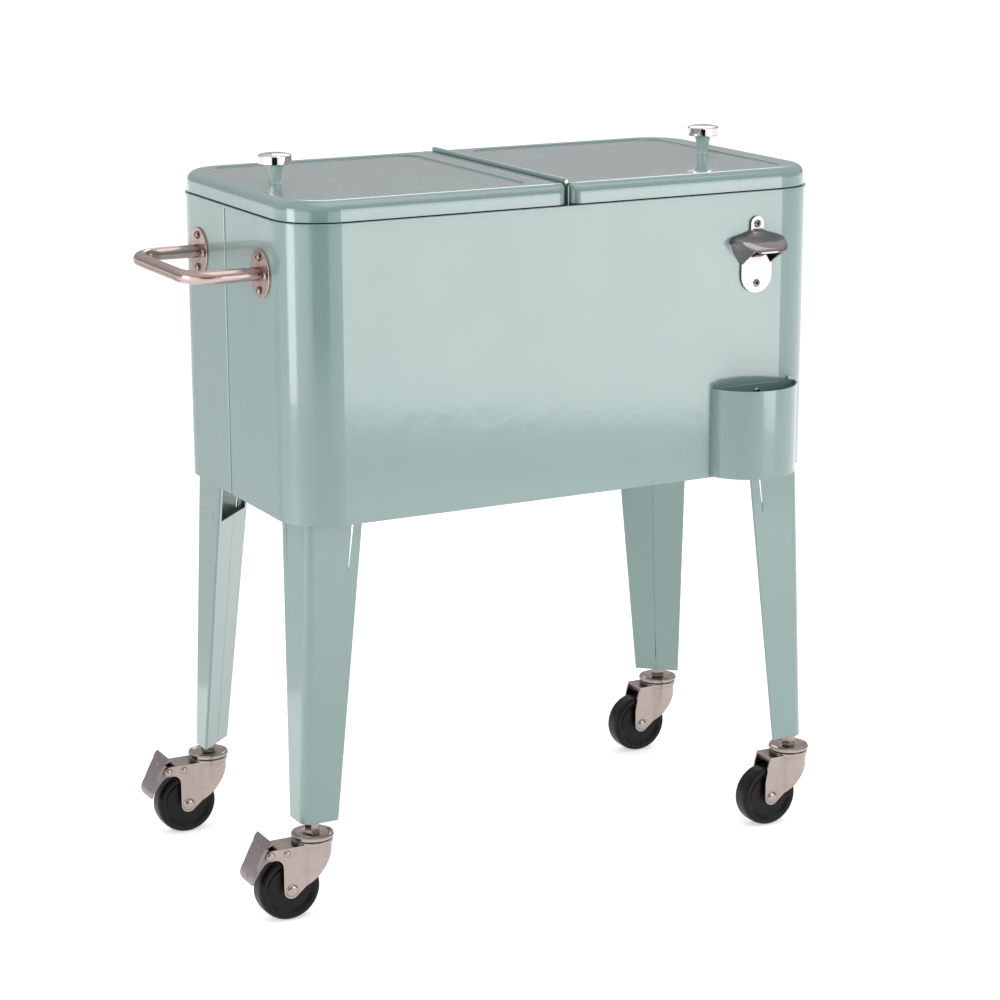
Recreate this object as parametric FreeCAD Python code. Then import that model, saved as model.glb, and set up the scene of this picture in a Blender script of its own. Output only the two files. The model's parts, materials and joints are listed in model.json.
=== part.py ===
import FreeCAD, Part
import os
import math

# Rolling patio cooler: insulated steel tub on four tapered legs with swivel
# castors, two flip lids on a middle hinge, an end handle, bottle opener and
# cap-catcher bin. Units mm, +Z up, X along the tub, front towards -Y.
# Origin: middle of the bounding box in X and Y, on the floor in Z.

# ---------------------------------------------------------------- dimensions
# the tub is drawn about its own middle; these move it so that the box middle
# is X = Y = 0 and the wheels stand on Z = 0
X_SHIFT = 37.75
Y_SHIFT = 21.375
Z_SHIFT = -2.3

TUB_L = 711.0         # tub over the skin, along X
TUB_W = 373.0         # tub over the skin, along Y
TUB_R = 60.0          # vertical corner radius
TUB_Z0 = 479.6        # bottom edge of the skin
TUB_Z1 = 829.5        # top edge of the skin
SKIN_T = 1.0
WALL = 20.0           # skin + foam + liner
LINER_T = 2.5
RIM_Z = 831.0         # top of the rolled rim
RIM_PROUD = 1.5
RIM_LOW = 828.7       # lower edge of the rolled rim
PAN_T = 1.5

LID_IN = 1.5          # lid side stands this far inside the skin
LID_Z0 = 832.3        # lower edge of the lid skin
LID_Z1 = 856.5        # top of the lid border
LID_T = 1.2
LID_ROUND = 12.5      # rounding of the lid's top border
LID_GAP = 1.9         # half of the gap between the two lids
LID_CR = 14.0         # plan radius of the lid corners at the hinge
HINGE_R = 4.0         # rounding of the lid's edge along the hinge
REC_IN = 22.0         # border width along the front and the back of the panel
REC_END = 37.0        # the same at the outer end
REC_HNG = 38.0        # the same along the hinge
REC_Z = 854.5         # flat panel, just below the border
REC_R = 26.0
REC_DRAFT = 0.7
PLUG_Z = 812.0        # underside of the insulated plug

HINGE_Z = 858.0
HIN_Y = 173.5         # half length of the hinge tube
KN_R = 3.7            # knuckle
PIN_R = 1.5
RUN = 0.05            # radial running clearance

KNOB_X = 296.0
KNOB_R = 20.0
KNOB_STEM = 23.1      # stem height under the cap

HAN_Z = 765.0
HAN_Y = 95.0
HAN_C = 3.0           # the handle sits a little behind the middle of the end
HAN_R = 8.0
HAN_OUT = 87.5        # middle of the grip bar from the end wall
HAN_BEND = 36.0
FLG_R = 28.5
FLG_T = 2.4

OP_X = 258.3
BIN_X = 258.0
BIN_HALF = 60.5
BIN_OUT = 47.5
BIN_Z0 = 481.5
BIN_Z1 = 592.0
BIN_T = 1.2

LEG_T = 1.5
LEG_Z0 = 116.6
LEG_Z1 = 480.1
CST_X = 337.3
CST_Y = 165.5
DISC_R = 25.75
TRAIL = 34.7
WH_R = 39.0
WH_W = 26.0
WH_Z = WH_R - Z_SHIFT   # axle height
PIV_X, PIV_Z = -61.2, 88.6    # brake pedal pivot
STP_X, STP_Z = -40.4, 88.4    # its stop rivet

os.makedirs("parts", exist_ok=True)
V = FreeCAD.Vector
SHIFT = V(X_SHIFT, Y_SHIFT, Z_SHIFT)
HL = TUB_L / 2.0
HW = TUB_W / 2.0


# ------------------------------------------------------------------- helpers
def box(x0, y0, z0, x1, y1, z1):
    return Part.makeBox(x1 - x0, y1 - y0, z1 - z0, V(x0, y0, z0))


def cyl(r, p, d, h):
    return Part.makeCylinder(r, h, V(*p), V(*d))


def rr_wire(x0, x1, y0, y1, r, z):
    """Rounded rectangle; r is one radius or the four at (x0y0, x1y0, x1y1, x0y1)."""
    if not isinstance(r, (tuple, list)):
        r = (r, r, r, r)
    a, b, c, d = [max(0.05, q) for q in r]
    s = math.sqrt(0.5)
    e = [Part.makeLine(V(x0 + a, y0, z), V(x1 - b, y0, z)),
         Part.Arc(V(x1 - b, y0, z), V(x1 - b + b * s, y0 + b - b * s, z), V(x1, y0 + b, z)).toShape(),
         Part.makeLine(V(x1, y0 + b, z), V(x1, y1 - c, z)),
         Part.Arc(V(x1, y1 - c, z), V(x1 - c + c * s, y1 - c + c * s, z), V(x1 - c, y1, z)).toShape(),
         Part.makeLine(V(x1 - c, y1, z), V(x0 + d, y1, z)),
         Part.Arc(V(x0 + d, y1, z), V(x0 + d - d * s, y1 - d + d * s, z), V(x0, y1 - d, z)).toShape(),
         Part.makeLine(V(x0, y1 - d, z), V(x0, y0 + a, z)),
         Part.Arc(V(x0, y0 + a, z), V(x0 + a - a * s, y0 + a - a * s, z), V(x0 + a, y0, z)).toShape()]
    return Part.Wire(e)


def rr(x0, x1, y0, y1, r, z0, z1):
    return Part.Face(rr_wire(x0, x1, y0, y1, r, z0)).extrude(V(0, 0, z1 - z0))


def poly(pts, d):
    w = Part.makePolygon([V(*p) for p in pts] + [V(*pts[0])])
    return Part.Face(w).extrude(V(*d))


def xz_poly(pts, y0, y1):
    return poly([(x, y0, z) for x, z in pts], (0, y1 - y0, 0))


def revolve_z(pts, cx, cy, smooth=()):
    """Turned piece about a vertical axis; pts are (r, z), smooth are index
    pairs (i, j) joined by a spline instead of straight lines."""
    e = []
    i = 0
    n = len(pts)
    sm = dict(smooth)
    while i < n - 1:
        if i in sm:
            j = sm[i]
            c = Part.BSplineCurve()
            c.interpolate([V(cx + r, cy, z) for r, z in pts[i:j + 1]])
            e.append(c.toShape())
            i = j
        else:
            a, b = pts[i], pts[i + 1]
            e.append(Part.makeLine(V(cx + a[0], cy, a[1]), V(cx + b[0], cy, b[1])))
            i += 1
    a, b = pts[-1], pts[0]
    if abs(a[0] - b[0]) > 1e-9 or abs(a[1] - b[1]) > 1e-9:
        e.append(Part.makeLine(V(cx + a[0], cy, a[1]), V(cx + b[0], cy, b[1])))
    f = Part.Face(Part.Wire(e))
    s = f.revolve(V(cx, cy, 0), V(0, 0, 1), 360)
    return s if s.ShapeType == "Solid" else Part.Solid(s.Shells[0])


def edges_at_z(s, z, inside=None, tol=0.02):
    out = []
    for e in s.Edges:
        b = e.BoundBox
        if abs(b.ZMin - z) < tol and abs(b.ZMax - z) < tol:
            if inside is None or inside(b):
                out.append(e)
    return out


def fil(s, r, edges):
    try:
        t = s.makeFillet(r, edges)
        if t.isValid() and t.Volume > 0:
            return t
    except Exception as ex:
        print("fillet skipped", r, ex)
    return s


DOC = FreeCAD.newDocument("fillets")


def fil_var(s, radii):
    """Fillet whose radius runs from the first to the second value that
    radii(edge) gives along each edge; None leaves the edge sharp."""
    src = DOC.addObject("Part::Feature", "src")
    src.Shape = s
    f = DOC.addObject("Part::Fillet", "f")
    f.Base = src
    f.Edges = [(i + 1,) + radii(e) for i, e in enumerate(s.Edges) if radii(e)]
    DOC.recompute()
    t = f.Shape.copy()
    DOC.removeObject(f.Name)
    DOC.removeObject(src.Name)
    if not t.isNull() and t.isValid() and len(t.Solids) == 1:
        return t.Solids[0]
    print("variable fillet skipped")
    return s


def hexa(rf, p, d, h):
    """Hexagonal prism, rf = half of the width across flats."""
    rc = rf / math.cos(math.pi / 6)
    pts = [V(rc * math.cos(math.radians(60 * k + 30)), rc * math.sin(math.radians(60 * k + 30)), 0) for k in range(7)]
    s = Part.Face(Part.makePolygon(pts)).extrude(V(0, 0, h))
    s.Placement = FreeCAD.Placement(V(*p), FreeCAD.Rotation(V(0, 0, 1), V(*d)))
    return s


def dome_screw(p, d, rh, hh, rs, ls, rec=1.4):
    """Domed screw: head outwards along d, shank inwards, hex recess."""
    k = 0.35
    s = revolve_z([(0, -ls), (rs, -ls), (rs, 0), (rh, 0), (rh, hh * k), (rh * 0.9, hh * 0.64), (rh * 0.6, hh * 0.9), (0, hh)],
                  0, 0, smooth=((4, 7),))
    s = s.cut(hexa(rec, (0, 0, hh * 0.35), (0, 0, 1), hh))
    s.Placement = FreeCAD.Placement(V(*p), FreeCAD.Rotation(V(0, 0, 1), V(*d)))
    return s


def mirror_x(s):
    return s.mirror(V(0, 0, 0), V(1, 0, 0))


def mirror_y(s):
    return s.mirror(V(0, 0, 0), V(0, 1, 0))


def clean(s):
    t = s.removeSplitter()
    return t if t.isValid() else s


BOX = FreeCAD.BoundBox()


def save(name, *solids):
    out = []
    for s in solids:
        for q in s.Solids:
            out.append(q)
    shp = out[0] if len(out) == 1 else Part.makeCompound(out)
    shp = shp.copy()
    shp.translate(SHIFT)
    if not shp.isValid():
        print("INVALID", name)
    BOX.add(shp.BoundBox)
    b = shp.BoundBox
    print("%-22s n=%d vol=%9.0f  x %7.1f %7.1f  y %7.1f %7.1f  z %6.1f %6.1f" % (
        name, len(out), shp.Volume, b.XMin, b.XMax, b.YMin, b.YMax, b.ZMin, b.ZMax))
    shp.exportStep("parts/%s.step" % name)


# --------------------------------------------------------------- fixings data
han_screws = []
for sy in (-1, 1):
    for a in (0, 90, 180, 270):
        han_screws.append((-HL - FLG_T, HAN_C + sy * HAN_Y + 19.5 * math.cos(math.radians(a)),
                           HAN_Z + 19.5 * math.sin(math.radians(a)), -1))
op_screws = [(OP_X, 791.7), (OP_X, 718.5)]
bin_screws = [(BIN_X + 4, 583.5), (BIN_X + 4, 505.0)]

leg_bolt_xy = []
for sx in (-1, 1):
    for sy in (-1, 1):
        for dx, dy in ((34, 32), (58, 34), (36, 56)):
            leg_bolt_xy.append((sx * (HL - dx), sy * (HW - dy)))

DRAIN_Z = 522.8
holes = []
for x, y, z, sx in han_screws:
    holes.append(cyl(2.05, (sx * (HL + 6), y, z), (-sx, 0, 0), 18))
for x, z in op_screws:
    holes.append(cyl(2.25, (x, -HW - 4, z), (0, 1, 0), 18))
for x, z in bin_screws:
    holes.append(cyl(2.05, (x, -HW - 4, z), (0, 1, 0), 18))
for x, y in leg_bolt_xy:
    holes.append(cyl(3.05, (x, y, 470), (0, 0, 1), 17))
holes.append(cyl(10.02, (HL - WALL - 6, 0, DRAIN_Z), (1, 0, 0), 40))
holes = Part.makeCompound(holes)

# ----------------------------------------------------------------- tub, fixed
skin = rr(-HL, HL, -HW, HW, TUB_R, TUB_Z0, TUB_Z1).cut(
    rr(-HL + SKIN_T, HL - SKIN_T, -HW + SKIN_T, HW - SKIN_T, TUB_R - SKIN_T, TUB_Z0 - 1, TUB_Z1 + 1))
# lap seam where the wrapped sheet closes on one end
skin = skin.fuse(box(-HL - 0.7, 14.6, TUB_Z0 + 0.6, -HL + 0.3, 17.4, TUB_Z1 - 2.0)).cut(holes)
save("tub_skin", clean(skin))

pan = rr(-HL + 1.05, HL - 1.05, -HW + 1.05, HW - 1.05, TUB_R - 1.05, 480.2, 480.2 + PAN_T).cut(holes)
save("tub_base_pan", pan)

liner_o = rr(-HL + WALL - LINER_T, HL - WALL + LINER_T, -HW + WALL - LINER_T, HW - WALL + LINER_T, 42.5,
             TUB_Z0 + WALL - LINER_T, 829.4)
liner_i = rr(-HL + WALL, HL - WALL, -HW + WALL, HW - WALL, 40.0, TUB_Z0 + WALL, 835)
liner_i = fil(liner_i, 10.0, edges_at_z(liner_i, TUB_Z0 + WALL))
liner = liner_o.cut(liner_i).cut(holes)
save("tub_liner", liner)

foam = rr(-HL + 1.05, HL - 1.05, -HW + 1.05, HW - 1.05, TUB_R - 1.05, 481.75, 829.35).cut(
    rr(-HL + WALL - LINER_T - 0.05, HL - WALL + LINER_T + 0.05, -HW + WALL - LINER_T - 0.05, HW - WALL + LINER_T + 0.05,
       42.55, TUB_Z0 + WALL - LINER_T - 0.05, 835)).cut(holes)
save("tub_foam", foam)

ro = RIM_PROUD
rim = rr(-HL - ro, HL + ro, -HW - ro, HW + ro, TUB_R + ro, RIM_LOW, RIM_Z).cut(
    rr(-HL + WALL, HL - WALL, -HW + WALL, HW - WALL, 40.0, 820, 840)).cut(
    rr(-HL - 0.05, HL + 0.05, -HW - 0.05, HW + 0.05, TUB_R + 0.05, 820, TUB_Z1))
rim = fil(rim, 1.0, [e for e in edges_at_z(rim, RIM_Z) if max(abs(e.BoundBox.XMax), abs(e.BoundBox.XMin)) > HL - TUB_R - 5
                     and (max(abs(e.BoundBox.XMin), abs(e.BoundBox.XMax)) > HL + 1 or max(abs(e.BoundBox.YMin), abs(e.BoundBox.YMax)) > HW + 1)])
save("tub_rim", rim)

# cross bar under the hinge, upright web and the two fixed knuckles
bar = box(-16, -HW + WALL + 0.1, 821, 16, HW - WALL - 0.1, RIM_Z)
bar = bar.cut(box(-14.5, -HW + WALL - 1, 820, 14.5, HW - WALL + 1, RIM_Z - 1.5))
web = box(-0.4, -HW + 6.0, RIM_Z - 0.2, 0.4, HW - 6.0, HINGE_Z - KN_R - 0.6)
web = web.cut(box(-2, -HW, 800, 2, -HW + WALL + 0.1, RIM_Z + 0.05)).cut(box(-2, HW - WALL - 0.1, 800, 2, HW, RIM_Z + 0.05))
K = [(-HIN_Y, -111.2), (-110.7, 3.9), (4.5, 118.4), (118.9, HIN_Y)]


def knuckle(y0, y1, rb):
    return cyl(KN_R, (0, y0, HINGE_Z), (0, 1, 0), y1 - y0), cyl(rb, (0, y0 - 1, HINGE_Z), (0, 1, 0), y1 - y0 + 2)


fixed = bar.fuse(web)
for y0, y1 in (K[0], K[3]):
    k, b = knuckle(y0, y1, PIN_R)
    fixed = fixed.fuse(box(-0.4, y0, HINGE_Z - KN_R - 1.0, 0.4, y1, HINGE_Z - 1.0)).fuse(k).cut(b)
save("centre_bar", clean(fixed))

pin = cyl(PIN_R, (0, K[0][0], HINGE_Z), (0, 1, 0), K[3][1] - K[0][0])
for y, d in ((K[0][0], -1), (K[3][1], 1)):
    h = cyl(3.3, (0, y, HINGE_Z), (0, d, 0), 1.8)
    h = fil(h, 1.2, [e for e in h.Edges if abs(e.BoundBox.YMin - (y + 1.8 * d)) < 0.01 and abs(e.BoundBox.YMax - (y + 1.8 * d)) < 0.01])
    pin = pin.fuse(h)
save("hinge_pin", clean(pin))


# -------------------------------------------------------------------- lids
def lid_block(o, z0):
    """Left lid outline moved inwards by o, panel recess grown by o."""
    x0, x1 = -HL + LID_IN + o, -LID_GAP - o
    y0, y1 = -HW + LID_IN + o, HW - LID_IN - o
    ro_, ri_ = TUB_R - LID_IN - o, LID_CR - o
    p = rr(x0, x1, y0, y1, (ro_, ri_, ri_, ro_), z0, LID_Z1 - o)
    big, small = LID_ROUND - o, HINGE_R - o

    def radii(e):
        b = e.BoundBox
        if abs(b.ZMin - (LID_Z1 - o)) > 0.02 or abs(b.ZMax - (LID_Z1 - o)) > 0.02:
            return None
        if b.XMin > x1 - 0.1:
            return small, small
        if b.XMin > x1 - ri_ - 0.1 and b.XMax > x1 - 0.1:
            return (small, big) if e.valueAt(e.FirstParameter).x > x1 - 0.1 else (big, small)
        return big, big

    p = fil_var(p, radii)
    a0, a1 = -HL + LID_IN + REC_END - o, -LID_GAP - REC_HNG + o
    b0, b1 = -HW + LID_IN + REC_IN - o, HW - LID_IN - REC_IN + o
    top = rr_wire(a0, a1, b0, b1, REC_R + o, LID_Z1 - o)
    d = REC_DRAFT
    bot = rr_wire(a0 + d, a1 - d, b0 + d, b1 - d, REC_R + o - d, REC_Z - o)
    rec = Part.makeLoft([bot, top], True, True)
    rec = fil(rec, 0.8 + 0.4 * o, edges_at_z(rec, REC_Z - o))
    rec = rec.fuse(rr(a0, a1, b0, b1, REC_R + o, LID_Z1 - o, LID_Z1 + 8))
    p = p.cut(rec)
    inner = edges_at_z(p, LID_Z1 - o, lambda b: b.XMin > a0 - 1 and b.XMax < a1 + 1 and b.YMin > b0 - 1 and b.YMax < b1 + 1)
    return fil(p, 0.8 if o < 0.5 else 0.4, inner)


def make_lid(tag, flip):
    f = mirror_x if flip else (lambda s: s)
    y0, y1 = K[2] if flip else K[1]
    shaft = cyl(2.7, (-KNOB_X, 0, 800), (0, 0, 1), 60)
    sk = lid_block(0.0, LID_Z0).cut(lid_block(LID_T, LID_Z0 - 3)).cut(shaft)
    save("lid_%s_skin" % tag, f(sk))
    # inner tray: flange inside the skin and the plug that hangs into the tub
    g = LID_T + 0.1
    fl = rr(-HL + LID_IN + g, -LID_GAP - g, -HW + LID_IN + g, HW - LID_IN - g, (TUB_R - LID_IN - g, LID_CR - g, LID_CR - g, TUB_R - LID_IN - g), LID_Z0, LID_Z0 + 1.7)
    px0, px1, py = -HL + WALL + 5.5, -22.0, HW - WALL - 4.5
    plug_o = Part.makeLoft([rr_wire(px0 + 3, px1 - 3, -py + 3, py - 3, 27, PLUG_Z), rr_wire(px0, px1, -py, py, 30, LID_Z0 + 0.5)], True, True)
    plug_o = fil(plug_o, 4.0, edges_at_z(plug_o, PLUG_Z))
    plug_i = Part.makeLoft([rr_wire(px0 + 5, px1 - 5, -py + 5, py - 5, 25, PLUG_Z + 2), rr_wire(px0 + 2, px1 - 2, -py + 2, py - 2, 28, LID_Z0 + 1.7)], True, True)
    tray = fl.fuse(plug_o).cut(plug_i)
    save("lid_%s_tray" % tag, f(clean(tray)))
    core = lid_block(LID_T + 0.1, LID_Z0 + 1.75)
    pi2 = Part.makeLoft([rr_wire(px0 + 5.1, px1 - 5.1, -py + 5.1, py - 5.1, 24.9, PLUG_Z + 2.1), rr_wire(px0 + 2.1, px1 - 2.1, -py + 2.1, py - 2.1, 27.9, LID_Z0 + 1.8)], True, True)
    core = core.fuse(pi2).cut(cyl(10, (-KNOB_X, 0, 846), (0, 0, 1), 14))
    save("lid_%s_foam" % tag, f(clean(core)))
    # seal under the tray flange
    gi, go = 7.0, 14.0
    seal = rr(-HL + LID_IN + gi, -LID_GAP - 3.0, -HW + LID_IN + gi, HW - LID_IN - gi, (TUB_R - LID_IN - gi, 8, 8, TUB_R - LID_IN - gi), RIM_Z + 0.35, LID_Z0)
    seal = seal.cut(rr(-HL + LID_IN + go, -LID_GAP - 10.0, -HW + LID_IN + go, HW - LID_IN - go, (TUB_R - LID_IN - go, 5, 5, TUB_R - LID_IN - go), 820, 840))
    save("lid_%s_seal" % tag, f(seal))
    # hinge leaf on the inner end of the lid
    k, b = knuckle(y0, y1, PIN_R + RUN)
    ly0, ly1 = (y0, y1)
    leaf = box(-LID_GAP, ly0, LID_Z0 + 1.5, -LID_GAP + 0.8, ly1, HINGE_Z - 1.0).fuse(cyl(KN_R, (0, y0, HINGE_Z), (0, 1, 0), y1 - y0)).cut(b)
    save("hinge_leaf_%s" % tag, f(clean(leaf)))
    # knob: turned stem, plated cap, screw with washer from below
    z = REC_Z
    h = KNOB_STEM
    prof = [(0, 0), (8.0, 0), (8.0, 1.0), (7.3, 1.4), (7.2, 3.0), (7.5, 8.0), (8.6, 14.5), (10.1, 20.3), (11.1, h), (0, h)]
    stem = revolve_z([(r, z + q) for r, q in prof], -KNOB_X, 0, smooth=((4, 8),))
    stem = stem.cut(cyl(2.5, (-KNOB_X, 0, z - 1), (0, 0, 1), 20))
    save("knob_%s_stem" % tag, f(stem))
    cp = [(0, h), (19.2, h), (KNOB_R, h + 0.8), (KNOB_R, h + 9.6), (19.3, h + 10.9), (16.8, h + 11.8), (9.0, h + 13.1), (0, h + 13.6)]
    cap = revolve_z([(r, z + q) for r, q in cp], -KNOB_X, 0, smooth=((4, 7),))
    save("knob_%s_cap" % tag, f(cap))
    scr = cyl(2.5, (-KNOB_X, 0, z - LID_T - 1.2), (0, 0, 1), 20).fuse(cyl(8.5, (-KNOB_X, 0, z - LID_T - 1.3), (0, 0, 1), 1.3))
    scr = scr.fuse(hexa(4.0, (-KNOB_X, 0, z - LID_T - 4.8), (0, 0, 1), 3.6))
    save("knob_%s_screw" % tag, f(clean(scr)))


make_lid("left", False)
make_lid("right", True)


# ------------------------------------------------------------------ handle
def handle():
    x1 = -HL - HAN_OUT
    xb = -HL - HAN_OUT + HAN_BEND
    a = cyl(HAN_R, (-HL - 0.2, -HAN_Y, HAN_Z), (-1, 0, 0), (-HL - 0.2) - xb)
    c = Part.Face(Part.Wire(Part.makeCircle(HAN_R, V(xb, -HAN_Y, HAN_Z), V(1, 0, 0))))
    bend = c.revolve(V(xb, -HAN_Y + HAN_BEND, HAN_Z), V(0, 0, 1), -90)
    half = a.fuse(bend)
    bar_ = cyl(HAN_R, (x1, -HAN_Y + HAN_BEND, HAN_Z), (0, 1, 0), 2 * (HAN_Y - HAN_BEND))
    s = half.fuse(mirror_y(half)).fuse(bar_)
    for sy in (-1, 1):
        p = cyl(FLG_R, (-HL - 0.05, sy * HAN_Y, HAN_Z), (-1, 0, 0), FLG_T - 0.05)
        p = fil(p, 0.9, [e for e in p.Edges if abs(e.BoundBox.XMin - (-HL - FLG_T)) < 0.02 and abs(e.BoundBox.XMax - (-HL - FLG_T)) < 0.02])
        s = s.fuse(p)
    s.translate(V(0, HAN_C, 0))
    for x, y, z, sx in han_screws:
        s = s.cut(cyl(2.05, (-HL + 1, y, z), (-1, 0, 0), 8))
    return clean(s)


save("handle_left", handle())
save("handle_screws", *[dome_screw((x, y, z), (sx, 0, 0), 4.7, 3.6, 2.0, 12.0 - 2.4 + FLG_T) for x, y, z, sx in han_screws])

# ------------------------------------------------------------ bottle opener
yf = -HW - 0.05
OP_T, OP_B = 9.05, 21.7       # half widths of the upper tab and the lower plate
plate = cyl(OP_T, (OP_X, yf, 791.7), (0, -1, 0), 3.0).fuse(box(OP_X - OP_T, yf - 3.0, 765, OP_X + OP_T, yf, 791.7))
low = cyl(OP_B, (OP_X, yf, 728.4), (0, -1, 0), 3.0).fuse(box(OP_X - OP_B, yf - 3.0, 728.4, OP_X + OP_B, yf, 757))
# hood: plan outlines stacked in Z; each is (z, half width at the wall,
# half width and reach of the lip corner, reach in the middle)
HOOD = [(755.0, 35.5, 24.6, 33.2, 36.6), (759.5, 36.3, 24.8, 34.6, 38.0), (763.0, 36.8, 25.3, 34.2, 37.7), (768.0, 37.3, 26.6, 30.0, 33.5), (773.5, 36.6, 26.0, 21.0, 24.5),
        (779.0, 24.5, 15.5, 11.0, 13.0), (785.5, 9.05, 6.5, 3.0, 3.2)]
wires = []
for z, hw, a, pa, pm in HOOD:
    c = Part.BSplineCurve()
    c.interpolate([V(OP_X - hw, yf, z), V(OP_X - hw * 0.55 - a * 0.5 , yf - pa * 0.62, z), V(OP_X - a * 0.86, yf - pa, z), V(OP_X, yf - pm, z),
                   V(OP_X + a * 0.86, yf - pa, z), V(OP_X + hw * 0.55 + a * 0.5 , yf - pa * 0.62, z), V(OP_X + hw, yf, z)])
    wires.append(Part.Wire([c.toShape(), Part.makeLine(V(OP_X + hw, yf, z), V(OP_X - hw, yf, z))]))
hood = Part.makeLoft(wires, True, False)
# the hood's underside falls towards the lip
under = poly([(OP_X - 60, yf + 2, 767.4), (OP_X - 60, yf - 17, 773.1), (OP_X - 60, yf - 50, 752.0), (OP_X - 60, yf - 50, 730), (OP_X - 60, yf + 2, 730)], (120, 0, 0))
hood = hood.cut(under)
hood = hood.cut(box(OP_X - 60, yf - 60, 700, OP_X + 60, yf + 5, 760.3))
# cheeks under the hood, tapering to the lower plate
CHEEK = [(743.0, 22.6, 21.7, 3.2), (747.0, 25.2, 22.0, 8.0), (752.0, 28.8, 22.6, 16.0), (757.0, 31.8, 23.1, 24.5), (761.0, 33.6, 23.5, 31.0), (766.0, 35.2, 23.8, 33.0), (775.0, 36.0, 24.0, 33.0)]
ct = 2.6
cw = []
for z, xw, xf, pf in CHEEK:
    q = [V(OP_X - xw, yf, z), V(OP_X - xf - (xw - xf) * 0.42, yf - pf * 0.5, z), V(OP_X - xf, yf - pf, z)]
    r = [V(OP_X - xf + ct, yf - pf, z), V(OP_X - xf - (xw - xf) * 0.42 + ct, yf - pf * 0.5, z), V(OP_X - xw + ct, yf, z)]
    c1, c2 = Part.BSplineCurve(), Part.BSplineCurve()
    c1.interpolate(q)
    c2.interpolate(r)
    cw.append(Part.Wire([c1.toShape(), Part.makeLine(q[2], r[0]), c2.toShape(), Part.makeLine(r[2], q[0])]))
cheek = Part.makeLoft(cw, True, False)
above = poly([(OP_X - 60, yf + 2, 768.2), (OP_X - 60, yf - 17, 773.9), (OP_X - 60, yf - 50, 752.8), (OP_X - 60, yf - 50, 830), (OP_X - 60, yf + 2, 830)], (120, 0, 0))
cheek = cheek.cut(above)
cheek2 = cheek.mirror(V(OP_X, 0, 0), V(1, 0, 0))
tooth = poly([(OP_X - 7, yf, 757.5), (OP_X - 7, yf - 10.5, 757.0), (OP_X - 7, yf - 12.0, 754.6), (OP_X - 7, yf - 9.5, 753.2), (OP_X - 7, yf, 749.5)], (14, 0, 0))
opener = plate.fuse(low).fuse(hood).fuse(cheek).fuse(cheek2).fuse(tooth)
for x, z in op_screws:
    opener = opener.cut(cyl(2.3, (x, yf + 1, z), (0, -1, 0), 20))
    opener = opener.cut(Part.makeCone(2.3, 5.2, 2.4, V(x, yf - 0.75, z), V(0, -1, 0)))
opener = clean(opener)
print("opener solids", len(opener.Solids))
save("bottle_opener", opener)
ops = []
for x, z in op_screws:
    s = Part.makeCone(2.2, 4.8, 2.1, V(x, yf - 0.8, z), V(0, -1, 0)).fuse(cyl(2.2, (x, yf - 1.0, z), (0, 1, 0), 13))
    s = s.fuse(Part.makeSphere(7.2, V(x, yf - 2.9 + 5.4, z)).common(box(x - 4.75, yf - 4.8, z - 4.75, x + 4.75, yf - 2.9, z + 4.75)))
    s = s.cut(hexa(2.0, (x, yf - 1.9, z), (0, -1, 0), 6))
    ops.append(clean(s))
save("opener_screws", *ops)

# ------------------------------------------------------------ cap-catcher bin
def bow(off, z0, z1, yb):
    h, s_ = BIN_HALF - off, BIN_OUT - off
    w = Part.Wire([Part.makeLine(V(BIN_X + h, yb, z0), V(BIN_X - h, yb, z0)),
                   Part.Arc(V(BIN_X - h, yb, z0), V(BIN_X, -HW - s_, z0), V(BIN_X + h, yb, z0)).toShape()])
    return Part.Face(w).extrude(V(0, 0, z1 - z0))


yb = -HW - 0.4
bin_ = bow(0, BIN_Z0, BIN_Z1, yb).cut(bow(BIN_T, BIN_Z0 + BIN_T, BIN_Z1 + 5, yb - BIN_T))
# small folded ears that stiffen the top corners
for s_ in (-1, 1):
    bin_ = bin_.fuse(poly([(BIN_X + s_ * 57.0, yb, BIN_Z1 - 0.1), (BIN_X + s_ * 50.0, yb, BIN_Z1 - 0.1), (BIN_X + s_ * 51.5, yb, BIN_Z1 + 5.0), (BIN_X + s_ * 55.0, yb, BIN_Z1 + 5.0)], (0, -BIN_T, 0)))
for x, z in bin_screws:
    slot = cyl(2.3, (x, yb + 1, z), (0, -1, 0), 4).fuse(box(x - 2.3, yb - 3, z - 12, x + 2.3, yb + 1, z)).fuse(cyl(4.9, (x, yb + 1, z - 12.5), (0, -1, 0), 4))
    bin_ = bin_.cut(slot)
save("cap_bin", clean(bin_))
bs = []
for x, z in bin_screws:
    bs.append(dome_screw((x, yb - BIN_T - 0.35, z), (0, -1, 0), 4.3, 2.8, 2.0, 12.0 + 1.95))
save("bin_screws", *bs)


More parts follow.
